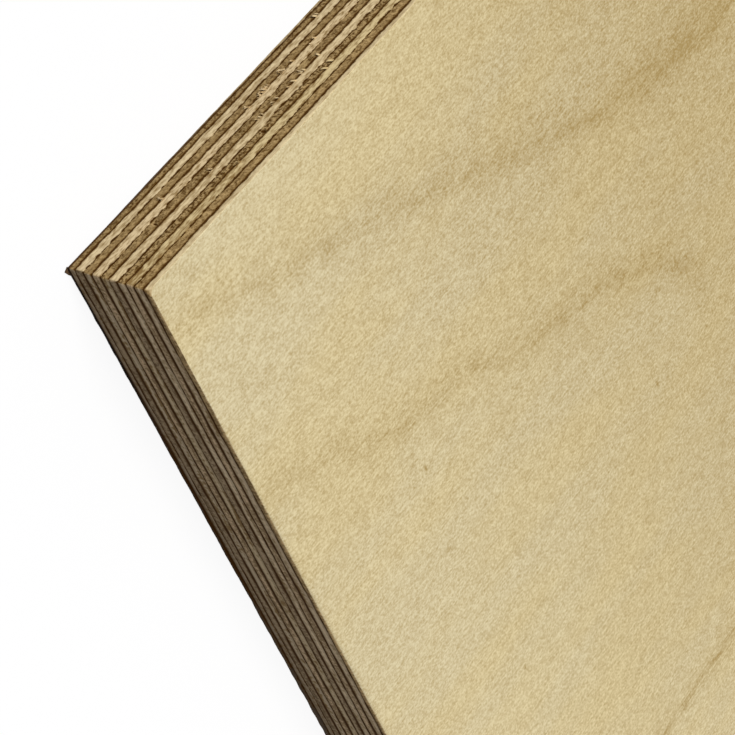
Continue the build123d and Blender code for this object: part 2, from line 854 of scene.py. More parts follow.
    def glue(self, spot: Spot, end: Value) -> tuple[Value, Value]:
        """Draw the dark lines at the veneer's two faces, partly resin and partly painted shade of the
        torn furrows along them, with painted shade in the hollows on the right edge and in the voids.

        Above a veneer whose fibres are cut across, and below one whose fibres aren't, the line
        is strong. The other one is a row of dashes.

        Args:
            spot: The point on the sheet.
            end: 1 where the fibres are cut across, and 0 elsewhere.

        Returns:
            1 in a line or in the painted shade of a hollow or a void, and 0 away from them, and the same
            for the stain beside the lines.
        """
        right, both = spot.right, end * spot.right
        frayed = spot.ripple(self.JAGS, 2.0) * (1.0 - right * self.SMOOTHED)
        above = spot.graph.attribute("glue_above") + frayed * self.FRAY_ABOVE
        below = spot.graph.attribute("glue_below") + frayed * self.FRAY_BELOW
        dash = spot.noise(self.DASHES, 1.0).rises(*self.DASHED)
        swell = spot.ripple(self.SWELLS, 1.0)
        least, by_ends, by_dashes, by_right, by_both = self.LINE_ABOVE
        upper_width = end * by_ends + (1.0 - end) * dash * by_dashes
        upper_width = upper_width + right * by_right + both * by_both + least
        in_front, further = self.SWELL_ABOVE
        upper_width = upper_width * (swell * (right * further + in_front) + 1.0)
        on_long, by_ends, by_dashes, by_right, by_both = self.LINE_BELOW
        lower_width = right * by_right - both * by_both + on_long - end * (by_ends - dash * by_dashes)
        in_front, further = self.SWELL_BELOW
        lower_width = lower_width * (swell * (right * further + in_front) + 1.0)
        upper = (above / upper_width).rises(*self.LINE_FADE)
        lower = (below / lower_width).rises(*self.LINE_FADE)
        off_upper = above / (upper_width + self.STAIN_ABOVE)
        off_lower = below / (lower_width + self.STAIN_BELOW)
        in_front, less = self.STAINED
        stain = off_upper.smaller(off_lower).rises(*self.STAIN_FADE) * (in_front - right * less)
        # Painted shade in the hollows near the lines on the right edge, and in the voids
        hollow_shade = above.smaller(below).rises(*self.HOLLOW_SHADE) * right
        pit = spot.graph.attribute("pit").rises(*self.PIT_SHADE)
        return upper.larger(lower).larger(hollow_shade).larger(pit), stain

    def floor_shade_and_glue(self, spot: Spot) -> Value:
        """Darken the edges towards the floor, most of all the right one near the corner: painted shade
        near the floor, over the dark of the glue there.

        Args:
            spot: The point on the sheet.

        Returns:
            How much of the wood the dark takes.
        """
        right, height = spot.right, spot.height
        near = spot.from_front.rises(*self.NEAR_START) * spot.from_front.rises(*self.NEAR_END)
        sunk = height + spot.from_front.rises(*self.FOOT_SINKS)
        side = height.rises(*self.SIDE_FLOOR_SHADE) + sunk.rises(*self.FOOT_FLOOR_SHADE)
        side = side + height.rises(*self.NEAR_FLOOR_SHADE) * near
        far = spot.from_right.rises(*self.FRONT_FAR)
        over_rim = (height - far * self.FAR_RIM_SINKS).rises(*self.FRONT_RIM)
        front = over_rim * (1.0 - far * self.FAR_FLOOR_SHADE) + far * self.FAR_FLOOR_SHADE
        return side * right + height.rises(*self.FRONT_FLOOR_SHADE) * front * (1.0 - right)

    def soil(self, spot: Spot, wood: Value, glue_and_shade: Value) -> Value:
        """Darken the lowest rim along the right edge and at the corner: painted shade at the foot, over
        the back's own dark end grain.

        Args:
            spot: The point on the sheet.
            wood: The colour of the wood.
            glue_and_shade: 1 in a glue line or in its painted shade, and 0 away from it.

        Returns:
            The colour of the wood with the painted shade.
        """
        graph, from_front = spot.graph, spot.from_front
        bottom = spot.height.rises(*self.BOTTOM)
        corner = from_front.rises(*self.CORNER_RIGHT) * spot.from_right.rises(*self.CORNER_FRONT)
        dark, darker = self.CORNER_SHADE
        soiled = graph.mix(corner * (bottom * darker + dark), wood, self.CORNER_SHADE_COLOUR)
        past = from_front.rises(*self.RIM_SHADE_TURNS)
        rim_shade_colour = graph.mix(past, self.NEAR_RIM_SHADE, self.FAR_RIM_SHADE)
        edge = graph.facing((1.0, 0.0, 0.0)).rises(*self.EDGE_RIM_SHADE)
        rind = spot.from_right.rises(*self.BACK_RIM_SHADE) * from_front.rises(*self.RIND_START)
        rim_shade_share = edge.larger(corner * bottom).larger(rind) * self.RIM_SHADE_STRENGTH
        return graph.mix(rim_shade_share * (1.0 - glue_and_shade * glue_and_shade * past), soiled, rim_shade_colour)

    def sawn(self, spot: Spot, end: Value, fibres: Fibres) -> Value:
        """Colour the wood of the sawn edges, with what the saw left on the right one.

        Args:
            spot: The point on the sheet.
            end: 1 where the fibres are cut across, and 0 elsewhere.
            fibres: The noises of the fibres.

        Returns:
            The colour, without the glue lines.
        """
        right, strand, broad = spot.right, fibres.strand, fibres.broad
        blotch = self.along_grain(spot, *self.BLOTCHES) * (1.0 - right)
        saw = spot.ripple(self.SAW_MARKS, 2.0) * right
        nick = spot.ripple(self.SAW_NICKS, 1.0) * right
        tinted = spot.from_right.rises(*self.TINT_RUN, self.near_tint)
        in_front, less = self.LONG_PORES
        tone = fibres.pore * (in_front - right * less)
        in_front, more = self.LONG_STRANDS
        tone = tone + strand * (in_front + right * more)
        by_saw, by_nicks = self.LONG_SAW
        by_broad, middle = self.LONG_TONE
        tone = (tone + saw * by_saw + nick * by_nicks) * self.contrast + broad * by_broad + middle
        long_cut = spot.graph.mix((tone - tinted).clamped(), self.DEEP, self.pale)
        by_dots, by_blotches = self.END_DOTS
        in_front, less = self.END_STRANDS
        end_tone = fibres.cut * by_dots + blotch * by_blotches + strand * (in_front - right * less)
        by_saw, by_nicks = self.END_SAW
        by_broad, middle = self.END_TONE
        end_tone = end_tone * self.end_contrast + saw * by_saw + nick * by_nicks
        end_tone = end_tone + broad * by_broad + middle
        end_cut = spot.graph.mix(end_tone.clamped(), self.end_deep, self.end_pale)
        return spot.graph.mix(end, long_cut, end_cut)

    def sanded(self, spot: Spot, fibres: Fibres) -> Value:
        """Colour the wood of the face or of the back, with its figure.

        Args:
            spot: The point on the sheet.
            fibres: The noises of the fibres.

        Returns:
            The colour.
        """
        hair = self.along_grain(spot, *self.HAIRS)
        mottle = spot.ripple(self.MOTTLE, 3.0, 0.65)
        by_dots, by_hairs, by_mottle, by_broad, middle = self.SANDED
        tone = fibres.cut * by_dots + hair * by_hairs + mottle * by_mottle
        tone = tone + fibres.broad * by_broad + middle
        cloud = spot.noise(self.CLOUDS, 2.0).rises(*self.CLOUDY)
        pale = spot.graph.mix(cloud, self.FACE_PALE, self.FACE_WARM)
        return spot.graph.mix((tone - self.figure.paint(spot)).clamped(), self.FACE_DEEP, pale)

    def material(self, rim: Rim) -> bpy.types.Material:
        """Build the material.

        Args:
            rim: The sheet's rim, for its size.

        Returns:
            The material, with its colour, roughness and relief made by nodes.
        """
        graph = Graph(bpy.data.materials.new(self.name))
        spot = Spot.on(graph, rim)
        on_edge = graph.attribute("glue_below").rises(*self.ON_EDGE)
        end = graph.facing(self.grain.value).rises(*self.CUT_FACING) * on_edge
        fibres = Fibres(
            self.along_grain(spot, *self.PORES),
            self.along_grain(spot, *self.CUT_ENDS),
            self.along_grain(spot, *self.STRANDS, 2.0),
            spot.ripple(self.BROAD, 2.0, shift=self.shift),
        )
        glue_and_shade, stain = self.glue(spot, end)
        # The dark lines: resin, painted shade of the furrows, hollows and voids, and painted shade
        # towards the floor
        line = glue_and_shade.larger(self.floor_shade_and_glue(spot))
        wood = graph.mix(stain, self.sawn(spot, end, fibres), self.STAIN)
        wood = graph.mix(line, wood, self.RESIN_AND_SHADE)
        if self.figure:
            shown = spot.flat * (1.0 - glue_and_shade)
            if self.soiled:
                shown = shown * spot.height.rises(*self.BACK_ENDS)
            wood = graph.mix(shown, wood, self.sanded(spot, fibres))
            # Painted shade on the front arris, where it faces the lamp
            arris = graph.facing(self.ARRIS_FACING).rises(*self.ARRIS_SHADE)
            wood = graph.mix(arris, wood, self.end_deep)
        # Painted shade along the back's foot, over its own dark end grain
        if self.soiled:
            wood = self.soil(spot, wood, glue_and_shade)
        height = fibres.pore + fibres.strand * self.STRAND_RELIEF
        height = height * (1.0 - spot.flat * self.SANDED_FLATTER)
        relief = {"Strength": self.BUMP_STRENGTH, "Distance": self.BUMP_DEPTH, "Height": height}
        mean, by_strands, by_glue = self.ROUGHNESS
        surface = {
            "Base Color": wood,
            "Roughness": mean + fibres.strand * by_strands + line * by_glue,
            "Normal": graph.add("ShaderNodeBump", None, relief),
            "Specular IOR Level": self.SPECULAR,
        }
        return graph.close(graph.add("ShaderNodeBsdfPrincipled", None, surface))


@dataclass(frozen=True)
class Ply:
    """How one inner ply differs from the rest.

    Its colour and contrast where it is sawn along its fibres, how much paler and how uneven its
    cut ends are, and how much darker it is near the corner.
    """

    pale: Triple
    contrast: float
    end_share: float
    end_contrast: float
    near_tint: float = 0.0


PLIES = {
    "cross_ply_1": Ply((0.76, 0.600, 0.365), 0.75, 1.06, 0.72),
    "long_ply_1": Ply((0.70, 0.560, 0.300), 1.0, 1.55, 1.0, near_tint=0.34),
    "cross_ply_2": Ply((0.84, 0.670, 0.410), 0.65, 0.90, 1.5),
    "long_ply_2": Ply((0.76, 0.610, 0.360), 0.78, 1.08, 1.5),
    "cross_ply_3": Ply((0.69, 0.545, 0.315), 1.2, 0.92, 0.90),
    "long_ply_3": Ply((0.73, 0.575, 0.340), 1.05, 1.56, 1.2),
    "cross_ply_4": Ply((0.63, 0.500, 0.305), 1.5, 0.97, 0.62),
    "long_ply_4": Ply((0.76, 0.615, 0.370), 0.72, 1.04, 1.2),
    "cross_ply_5": Ply((0.58, 0.460, 0.290), 1.0, 0.86, 1.0),
}

# The pale and the deep colour of cut ends. The cross plies' deep colour, which the front edge shows, is
# darker than the long plies' on the right edge, a painted shade of their tears in the lamp's side light
END_COLOURS = {
    Grain.CROSS: ((0.465, 0.322, 0.142), (0.092, 0.043, 0.006)),
    Grain.LONG: ((0.465, 0.345, 0.195), (0.19, 0.128, 0.060)),
}

# The face's darker growth lines and pin marks near the corner
NEAR_STREAKS = (
    Streak(
        ((0, 6.7), (21, 15), (42, 22.5), (58, 30), (75, 37.5), (93, 43.7), (130, 47)),
        0.165, 1.25, 0.10, 4.4,
    ),
    Streak(
        (
            (0, 38.7), (10, 41.7), (20, 48), (32, 52.5), (42, 54.2),
            (47, 58.3), (58, 62), (70, 65), (80, 70), (92, 81),
        ),
        0.175, 1.15, 0.10, 3.4,
    ),
    Streak(((40, 152), (60, 151.8), (85, 152)), 0.38, 0.75, 0.10, 2.4),
    Streak(((86, 75), (92, 81), (98, 90)), 0.05, 2.5, 0.10, 5.0),
    Streak(((93, 43.7), (105, 45.5), (117, 46.5)), 0.05, 2.0, 0.08, 5.0),
)
NEAR_PINS = ((26.7, 60.0), (28.0, 107.7), (75.8, 91.3))


@dataclass
class Row:
    """One level of a veneer's sawn edge, right round the rim, in metres.

    The distances to the glue lines below and above are in mm, as the material reads them.
    """

    height: np.ndarray
    inset: np.ndarray
    pit: np.ndarray
    glue_below: float
    glue_above: float
    corner: np.ndarray | float


@dataclass(frozen=True)
class Void:
    """A small place on the front edge where a core veneer tore out or was never filled."""

    node: str
    from_corner: float
    level: float
    half_run: float
    half_rise: float
    depth: float

    def pit(self, rim: Rim, share: float) -> np.ndarray:
        """Hollow out the void.

        Args:
            rim: The sheet's rim.
            share: Level as a share of the veneer's thickness.

        Returns:
            How deep the void is in each column at that level.
        """
        across = (rim.loop - rim.along - self.from_corner) / self.half_run
        up = (share - self.level) / self.half_rise
        return self.depth * np.exp(-(across**2) - up**2)


@dataclass
class Rind:
    """The mesh of one veneer while it is built, with what its material reads from it."""

    name: str
    bm: bmesh.types.BMesh = field(default_factory=bmesh.new)

    # A standing fibre's section, how far its elbow bends aside and outwards, and its width
    # there, all as shares of its width at the root
    SPIKE_SECTION = ((0.5, 0.0), (-0.5, 0.0), (0.0, 0.6))
    SPIKE_BEND = (0.5, 0.7)
    SPIKE_TAPER = 0.75

    def __post_init__(self) -> None:
        """Open the layers for the distances to the glue lines and for the depth of the pits."""
        self.below = self.bm.verts.layers.float.new("glue_below")
        self.above = self.bm.verts.layers.float.new("glue_above")
        self.pit = self.bm.verts.layers.float.new("pit")

    def vertex(
        self,
        place: Vector | Triple,
        below: float = NO_GLUE,
        above: float = NO_GLUE,
        pit: float = 0.0,
    ) -> bmesh.types.BMVert:
        """Add one vertex.

        Args:
            place: Where it stands.
            below: Distance to the glue line below, in mm.
            above: Distance to the glue line above, in mm.
            pit: Depth of the void it lies in, in metres.

        Returns:
            The vertex.
        """
        made = self.bm.verts.new(place)
        made[self.below], made[self.above], made[self.pit] = below, above, pit / MM
        return made

    def ring(self, xy: np.ndarray, height: np.ndarray, row: Row | None) -> Ring:
        """Add one ring of vertices.

        Args:
            xy: Place of each vertex, seen from above.
            height: Height of each vertex.
            row: The level of the sawn edge that the ring is or continues, or none for bare wood.

        Returns:
            The ring's vertices.
        """
        pits = row.pit.tolist() if row else [0.0] * len(xy)
        glue = (row.glue_below, row.glue_above) if row else (NO_GLUE, NO_GLUE)
        return [
            self.vertex((x, y, z), *glue, pit)
            for (x, y), z, pit in zip(xy.tolist(), height.tolist(), pits)
        ]

    def band(self, low: Ring, high: Ring) -> None:
        """Close the strip between two rings, with its faces outwards or upwards."""
        for k in range(len(low)):
            self.bm.faces.new((low[k - 1], low[k], high[k], high[k - 1]))

    def spike(self, root: Vector, tip: Vector, side: Vector, thickness: float) -> None:
        """Add one standing fibre, a closed three-sided spike that bends a little.

        Args:
            root: Middle of its root, just inside the edge.
            tip: Its free end.
            side: Direction across the fibre.
            thickness: Width at the root.
        """
        out = (tip - root).normalized().cross(side).normalized()
        aside, outwards = self.SPIKE_BEND
        elbow = root.lerp(tip, 0.5) + out * thickness * outwards + side * thickness * aside
        corners = [side * across + out * up for across, up in self.SPIKE_SECTION]
        low, high = (
            [self.vertex(middle + corner * thickness * size) for corner in corners]
            for middle, size in ((root, 1.0), (elbow, self.SPIKE_TAPER))
        )
        end = self.vertex(tip)
        self.bm.faces.new(low[::-1])
        for k in range(len(corners)):
            self.bm.faces.new((low[k - 1], low[k], high[k], high[k - 1]))
            self.bm.faces.new((high[k - 1], high[k], end))

    def finish(self, sharp_angle: float) -> bpy.types.Object:
        """Turn the mesh into an object in the scene.

        Args:
            sharp_angle: The angle from which an edge stays sharp in a smooth surface.

        Returns:
            The object.
        """
        bmesh.ops.recalc_face_normals(self.bm, faces=self.bm.faces)
        mesh = bpy.data.meshes.new(self.name)
        self.bm.to_mesh(mesh)
        self.bm.free()
        mesh.shade_smooth()
        mesh.set_sharp_from_angle(angle=sharp_angle)
        return stand(self.name, mesh)


class Lumps(Enum):
    """The noises of a veneer's edges: number of each, and length and height of its lumps.

    A height of 1.0 keeps a noise the same over the whole thickness.
    """

    TEARS = (0, 0.34 * MM, 0.30 * MM)
    CLUMPS = (1, 1.6 * MM, 0.8 * MM)
    FIBRES = (2, 3.5 * MM, 0.17 * MM)
    NICKS = (3, 0.9 * MM, 1.0)
    GAPS = (4, 1.5 * MM, 1.0)
    ARRIS_WANDER = (5, 6 * MM, 1.0)
    ARRIS_NICKS = (6, 0.8 * MM, 1.0)
    RAGGED = (7, 2.4 * MM, 1.0)


@dataclass
class Veneer:
    """One veneer of the lay-up, with its four sawn edges.

    The relief of the edges is given in mm where a comment says so, and otherwise in metres.
    """

    node: str
    number: int
    grain: Grain
    rim: Rim
    low: np.ndarray
    high: np.ndarray
    voids: tuple[Void, ...] = ()
    whiskers: int = 0

    # Seeds of the noises, and how far the grain moves from one veneer to the next, in lumps
    FIRST_SEED = 1000
    SEEDS_EACH = 20
    WHISKER_SEED = 9
    GRAIN_SHIFT = (13.7, 5.3, 2.9)

    # Distances of the rows from a glue line, the share of the thickness that they stay under,
    # and about how far apart the other rows are
    GLUE_ROWS = (0.0, 0.05 * MM, 0.12 * MM, 0.24 * MM)
    GLUE_ROWS_UNDER = 0.42
    ROW_STEP = 0.26 * MM

    # Depth of torn end grain with what its tears and clumps add, and of combed long grain with
    # what its fibres take away, in mm
    TORN = (0.045, 0.014, 0.025)
    COMBED = (0.006, 0.016)

    # Furrows along the glue lines: the depth of a faint one and of a torn one, the share of it
    # below long grain, half their widths over and under, and how uneven and broken they are
    FAINT_FURROW = 0.10 * MM
    TORN_FURROW = 0.17 * MM
    LONG_SHARE = 0.5
    UPPER_FURROW = 0.07 * MM
    LOWER_FURROW = 0.05 * MM
    UNEVEN = (0.75, 0.35)
    BROKEN = (0.55, 0.75)

    # Radius of the sheet's upright corners, breadth of the ring inside the top and the
    # underside, and the angle from which an edge stays sharp
    ARRIS_CORNER = 0.28 * MM
    CAP_INSET = 3.0 * MM
    SHARP_ANGLE = math.radians(62)

    # Broken fibres: how many a tuft has, how near the corner the first tufts stand, how far
    # short of the seen edge the last ones do, and how deep inside the edge the roots are
    TUFT = 3
    FIRST_TUFT = 3 * MM
    TUFTS_SHORT_OF = 4 * MM
    ROOT_INSIDE = 0.03 * MM

    # Their spread in a tuft, length, thickness, lift off the edge and height of the root, in mm,
    # and their lean, in radians
    TUFT_SPREAD = 0.45
    WHISKER_LONG = (0.35, 0.60, 1.40)
    WHISKER_THICK = (0.20, 0.36)
    WHISKER_LIFT = (0.10, 0.32)
    WHISKER_ROOT = (0.02, 0.25)
    WHISKER_LEAN = (0.80, 0.50)

    @property
    def seed(self) -> int:
        """Give the first seed of the veneer's own noises."""
        return self.FIRST_SEED + self.SEEDS_EACH * self.number

    def sawn_top(self) -> np.ndarray:
        """Give the height of each column at which the sawn edge ends."""
        return self.high

    def noise(self, lumps: Lumps, height: np.ndarray | float = 0.0) -> np.ndarray:
        """Read one of the veneer's own noises, from -1 to 1, in each column."""
        number, cell, tall_cell = lumps.value
        return self.rim.noise(self.seed + number, cell, tall_cell, height)

    def shares(self) -> np.ndarray:
        """Set out the levels of the edge's rows, which are close together at the glue.

        Returns:
            The levels as shares of the thickness.
        """
        thickness = float(np.median(self.sawn_top() - self.low))
        ends = np.array([row for row in self.GLUE_ROWS if row < thickness * self.GLUE_ROWS_UNDER])
        middle = thickness - 2 * ends[-1]
        steps = max(1, round(middle / self.ROW_STEP))
        inner = ends[-1] + middle * np.arange(1, steps) / steps
        return np.concatenate([ends, inner, thickness - ends[::-1]]) / thickness

    def relief(self, share: float, height: np.ndarray) -> np.ndarray:
        """Work out how far a level of the edge stands inside the saw's plane.

        Args:
            share: Level as a share of the veneer's thickness.
            height: Height of each column at that level.

        Returns:
            The inset of each column, deeper in torn end grain and in the glue lines.
        """
        end = self.rim.end_grain(self.grain)
        deep, by_tears, by_clumps = self.TORN
        torn = deep + by_tears * self.noise(Lumps.TEARS, height)
        torn = (torn + by_clumps * self.noise(Lumps.CLUMPS, height)) * MM
        deep, by_fibres = self.COMBED
        combed = (deep - by_fibres * self.noise(Lumps.FIBRES, height)) * MM
        inset = torn * end + combed * (1 - end)
        thickness = self.sawn_top() - self.low
        mean, change = self.UNEVEN
        nick = mean + change * self.noise(Lumps.NICKS)
        mean, change = self.BROKEN
        faint = self.FAINT_FURROW * np.maximum(mean + change * self.noise(Lumps.GAPS), 0.0)
        above = self.TORN_FURROW * end + faint * (1 - end)
        below = faint * end + self.TORN_FURROW * self.LONG_SHARE * (1 - end)
        inset = inset + above * nick * np.exp(-(((1 - share) * thickness / self.UPPER_FURROW) ** 2))
        return inset + below * nick * np.exp(-((share * thickness / self.LOWER_FURROW) ** 2))

    def rows(self) -> list[Row]:
        """Lay out the levels of the edge.

        Returns:
            The rows, from the glue line below to the one above.
        """
        top = self.sawn_top()
        thickness = float(np.median(top - self.low)) / MM
        made = []
        for share in self.shares():
            height = self.low + (top - self.low) * share
            pit = sum((void.pit(self.rim, share) for void in self.voids), np.zeros(len(height)))
            inset = self.relief(share, height) + pit
            glue = (share * thickness, (1 - share) * thickness)
            made.append(Row(height, inset, pit, *glue, self.ARRIS_CORNER))
        return made

    def cap(self, rind: Rind, edge: Ring, row: Row, on_top: bool) -> None:
        """Close the veneer's top or underside, in resin where another veneer is glued to it.

        Args:
            rind: The veneer's mesh.
            edge: The highest or the lowest ring of the sawn edge.
            row: The level of that ring.
            on_top: Whether it is the top that is closed.
        """
        bare = self.node == ("face_veneer" if on_top else "back_veneer")
        level = float(np.median(self.high if on_top else self.low))
        xy = self.rim.worn(self.ARRIS_CORNER, 0.0) * (1 - self.CAP_INSET / self.rim.half_length)
        inner = rind.ring(xy, np.full(len(xy), level), None if bare else row)
        low, high = (edge, inner) if on_top else (inner, edge)
        rind.band(low, high)
        rind.bm.faces.new(inner if on_top else inner[::-1])

    def add_splinters(self, rind: Rind) -> None:
        """Hang broken fibres over the glue line below, on the front edge near the corner.

        Args:
            rind: The veneer's mesh.
        """
        chance = np.random.default_rng(self.seed + self.WHISKER_SEED)
        x, y, loop = self.rim.half_length, -self.rim.half_width, self.rim.loop
        tufts_run = self.rim.seen_front - self.TUFTS_SHORT_OF
        for number in range(self.whiskers):
            if number % self.TUFT == 0:
                tuft = self.FIRST_TUFT + tufts_run * chance.uniform() ** 0.5
            from_corner = tuft + chance.normal(0.0, self.TUFT_SPREAD) * MM
            long = chance.triangular(*self.WHISKER_LONG) * MM
            lean = chance.normal(*self.WHISKER_LEAN)
            thick = chance.uniform(*self.WHISKER_THICK) * MM
            lift = chance.uniform(*self.WHISKER_LIFT) * MM
            level = float(np.interp((loop - from_corner) % loop, self.rim.along, self.low))
            level += chance.uniform(*self.WHISKER_ROOT) * MM
            root = Vector((x - from_corner, y + self.ROOT_INSIDE, level))
            tip = root + Vector((math.sin(lean) * long, -lift, -math.cos(lean) * long))
            rind.spike(root, tip, Vector((1.0, 0.0, 0.0)), thick)

    def build(self) -> bpy.types.Object:
        """Build the veneer's mesh.

        Returns:
            The piece, in place in the sheet.
        """
        rind = Rind(self.node + "_dressed")
        rows = self.rows()
        rings = [rind.ring(self.rim.worn(row.corner, row.inset), row.height, row) for row in rows]
        for low, high in zip(rings, rings[1:]):
            rind.band(low, high)
        self.cap(rind, rings[0], rows[0], on_top=False)
        self.cap(rind, rings[-1], rows[-1], on_top=True)
        self.add_splinters(rind)
        return rind.finish(self.SHARP_ANGLE)

    def birch(self, **looks: object) -> BirchFinish:
        """Make a finish of birch, with this veneer's own grain and the looks that are given."""
        shift = tuple(step * self.number for step in self.GRAIN_SHIFT)
        return BirchFinish(f"birch_{self.node}", self.grain, shift, **looks)

    def finish(self) -> BirchFinish:
        """Choose the finish of an inner ply, each a slightly different piece of birch.

        Returns:
            The finish.
        """
        ply = PLIES[self.node]
        end_pale, end_deep = (
            tuple(part * ply.end_share for part in colour) for colour in END_COLOURS[self.grain]
        )
        return self.birch(
            pale=ply.pale,
            contrast=ply.contrast,
            end_pale=end_pale,
            end_deep=end_deep,
            end_contrast=ply.end_contrast,
            near_tint=ply.near_tint,
        )

    def dress(self, piece: bpy.types.Object) -> None:
        """Give a piece the veneer's finish."""
        piece.data.materials.append(self.finish().material(self.rim))


@dataclass
class FaceVeneer(Veneer):
    """The sanded veneer on top, with the arris that sanding eased and the worn near corner."""

    drop: np.ndarray = field(init=False)
    reach: np.ndarray = field(init=False)

    # Rows of the arris, breadth of the ring beyond it, and radius of the upright corners at the
    # face
    ARC_STEPS = 6
    FLAT_RING = 0.16 * MM
    SHEET_CORNER = 0.62 * MM
    NEAR_CORNER = 1.25 * MM

    # Where the wear of the right arris starts, and the run over which it grows
    WEAR_START = 2 * MM
    WEAR_RUN = 68 * MM

    # Drop of the arris with what wear, wander and nicks add, and the least of it, in mm, and how
    # many times further wear reaches inwards
    DROP = (0.09, 0.25, 0.03, 0.025)
    LEAST_DROP = 0.05
    WORN_REACH = 2.1

    # How far above the glue the edge gets smoother, in mm, and by how much
    SMOOTH_FROM = 0.6
    SMOOTHER = 0.6

    def __post_init__(self) -> None:
        """Work out the drop and the reach of the eased arris, both larger along the right edge."""
        worn = fade((self.rim.along - self.WEAR_START) / self.WEAR_RUN) * self.rim.on(Side.RIGHT)
        eased, by_wear, by_wander, by_nicks = self.DROP
        drop = eased + by_wear * worn + by_wander * self.noise(Lumps.ARRIS_WANDER)
        drop = drop + by_nicks * self.noise(Lumps.ARRIS_NICKS)
        self.drop = np.maximum(drop, self.LEAST_DROP) * MM
        self.reach = self.drop * (1 + self.WORN_REACH * worn)

    def sawn_top(self) -> np.ndarray:
        """Give the height of each column at which the sawn edge ends and the arris starts."""
        return self.high - self.drop

    def rows(self) -> list[Row]:
        """Lay out the sawn edge up to the arris, and then the arris itself.

        Returns:
            The rows, from the glue line to the flat of the face.
        """
        near = self.rim.from_near_corner() < self.rim.half_length
        top_corner = np.where(near, self.NEAR_CORNER, self.SHEET_CORNER)
        made = super().rows()
        for row in made:
            row.glue_above = NO_GLUE
            rise = fade((row.height - self.low) / (self.high - self.low))
            row.corner = self.ARRIS_CORNER + (top_corner - self.ARRIS_CORNER) * rise
            row.inset = row.inset * (1 - self.SMOOTHER * fade(row.glue_below / self.SMOOTH_FROM))
        last = made[-1]
        for step in range(1, self.ARC_STEPS + 1):
            angle = math.pi / 2 * step / self.ARC_STEPS
            height = self.sawn_top() + self.drop * math.sin(angle)
            inset = last.inset + self.reach * (1 - math.cos(angle))
            made.append(Row(height, inset, last.pit, last.glue_below, NO_GLUE, top_corner))
        inset = last.inset + self.reach + self.FLAT_RING
        made.append(Row(self.high, inset, last.pit, last.glue_below, NO_GLUE, top_corner))
        return made

    def finish(self) -> BirchFinish:
        """Choose the finish of the face, with its figure near the corner.

        Returns:
            The finish.
        """
        return self.birch(
            pale=(0.71, 0.58, 0.345),
            contrast=0.55,
            end_pale=(0.61, 0.42, 0.185),
            end_deep=(0.23, 0.145, 0.055),
            figure=RotaryFigure(streaks=NEAR_STREAKS, pins=NEAR_PINS),
        )


@dataclass
class BackVeneer(Veneer):
    """The thin veneer underneath, worn in front, with a burr and a splinter that the saw left."""

    # How deep the front edge is worn and how far the burr sticks out of the right edge, by the
    # distance from the near corner, in mm
    WORN = ((0, 0.30), (5, 0.29), (15, 0.17), (25, 0.10), (40, 0.01), (55, -0.07))
    BURR = (
        (0, -0.04), (8, -0.02), (15, 0.03), (25, 0.10),
        (40, 0.20), (55, 0.305), (70, 0.355), (100, 0.53),
    )

    # How steeply both grow towards the floor, where the burr ends before the rear corner, and
    # how ragged it is
    WORN_CURVE = 1.5
    BURR_CURVE = 1.2
    BURR_END = 20 * MM
    RAGGED = 0.16

    # The splinter: how far each of its corners is out of the right edge and behind the near
    # corner, in mm, and how high its lower and upper side are there, as shares of its rise
    SPLINTER = ((-0.25, 0.12), (0.48, 0.42), (0.168, 1.17), (-0.25, 1.8))
    SPLINTER_LIFTS = ((0.02, 1.0), (0.20, 0.50), (0.10, 0.75), (0.02, 0.9))
    SPLINTER_RISE = 0.26 * MM

    def burr(self) -> np.ndarray:
        """Shape the burr along the foot of the right edge, which the material darkens with painted
        shade.

        Returns:
            How far it sticks out at each column.
        """
        rim = self.rim
        far_end = fade((2 * rim.half_width - rim.along) / self.BURR_END)
        ragged = 1 + self.RAGGED * self.noise(Lumps.RAGGED)
        return follow(self.BURR, rim.along) * rim.on(Side.RIGHT) * far_end * ragged

    def rows(self) -> list[Row]:
        """Lay out the sawn edge, with no glue line and no groove at the bottom.

        Returns:
            The rows, from the floor to the glue line.
        """
        made = super().rows()
        worn = follow(self.WORN, self.rim.from_near_corner()) * self.rim.on(Side.FRONT)
        burr = self.burr()
        for row in made:
            low = 1 - row.height / (self.high - self.low)
            inset = np.minimum(row.inset, made[-2].inset)
            row.inset = inset + worn * low**self.WORN_CURVE - burr * low**self.BURR_CURVE
            row.glue_below = SHOWN_BACK
        return made

    def add_splinters(self, rind: Rind) -> None:
        """Add the splinter, a flat four-cornered sliver that points out of the right edge.

        Args:
            rind: The veneer's mesh.
        """
        x, y = self.rim.half_length, -self.rim.half_width
        low, high = (
            [
                rind.vertex((x + out * MM, y + behind * MM, lifts[level] * self.SPLINTER_RISE))
                for (out, behind), lifts in zip(self.SPLINTER, self.SPLINTER_LIFTS)
            ]
            for level in (0, 1)
        )
        rind.bm.faces.new(low[::-1])
        rind.bm.faces.new(high)
        rind.band(low, high)

    def finish(self) -> BirchFinish:
        """Choose the finish of the back, with its own figure and painted shade on the rim at its foot.

        Returns:
            The finish.
        """
        figure = RotaryFigure(rings=6.5, strength=0.36, shift=(9.2, 4.4, 0.0))
        return self.birch(figure=figure, soiled=True)


